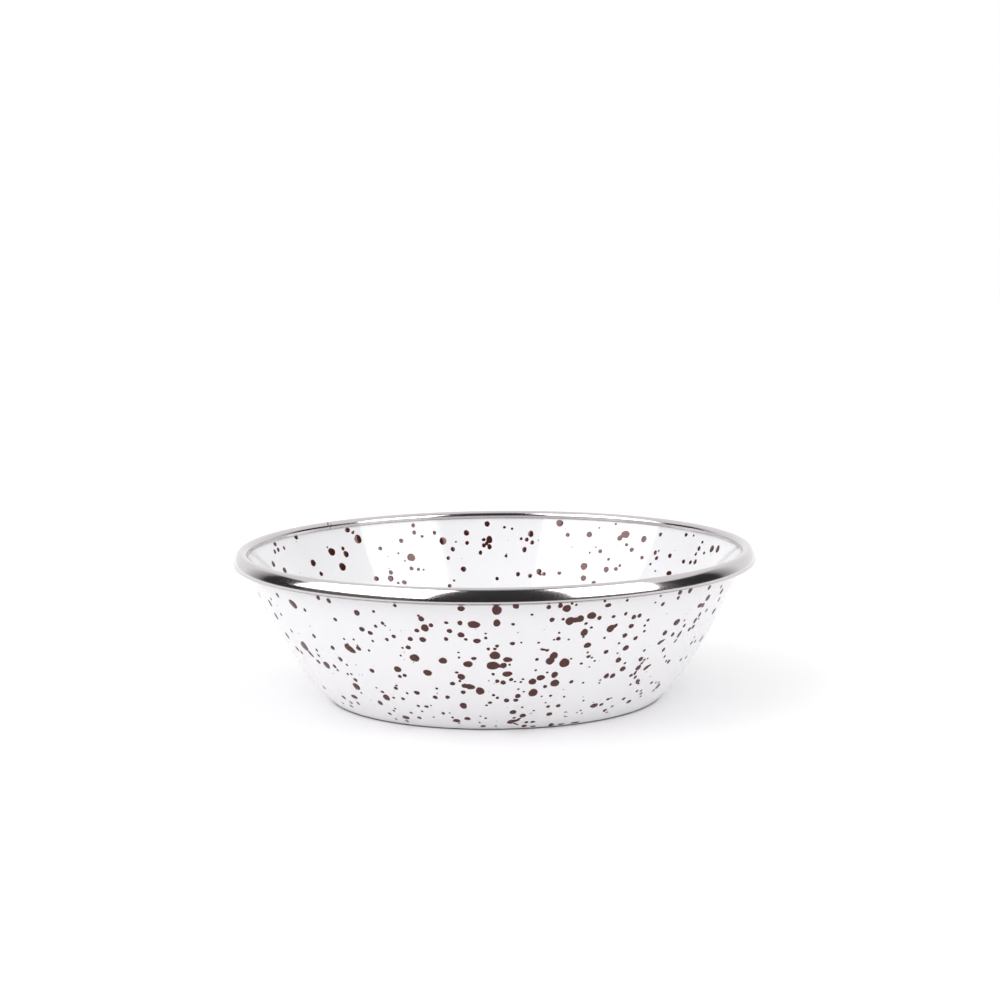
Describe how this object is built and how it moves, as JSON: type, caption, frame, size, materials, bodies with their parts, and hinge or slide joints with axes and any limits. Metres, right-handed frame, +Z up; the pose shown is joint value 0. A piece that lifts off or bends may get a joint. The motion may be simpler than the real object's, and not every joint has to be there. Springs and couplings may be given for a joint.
{
  "type": "enamel bowl",
  "caption": "Shallow round enamelled-steel basin bowl with a flared wall, flat base, brown splatter and a rolled stainless rim band.",
  "frame": {"origin": "centre of the base on the table's surface", "axes": "+Z up along the bowl's axis, -Y towards the front"},
  "size_m": [0.161, 0.161, 0.0465],
  "materials": {
    "pressed_steel": "pressed, bare under the enamel",
    "ground_enamel": "dark glassy bonding coat",
    "white_enamel": "glossy white glass enamel",
    "brown_enamel": "glossy dark brown glass enamel",
    "stainless_band": "polished stainless steel",
    "stainless_weld": "small dressed weld"
  },
  "bodies": {
    "root": {"steel_shell": "pressed_steel", "ground_coat_inside": "ground_enamel", "ground_coat_outside": "ground_enamel", "white_coat_inside": "white_enamel", "white_coat_outside": "white_enamel", "brown_drops_inside": "brown_enamel", "brown_drops_outside": "brown_enamel", "rim_band": "stainless_band", "rim_weld": "stainless_weld"}
  },
  "joints": []
}
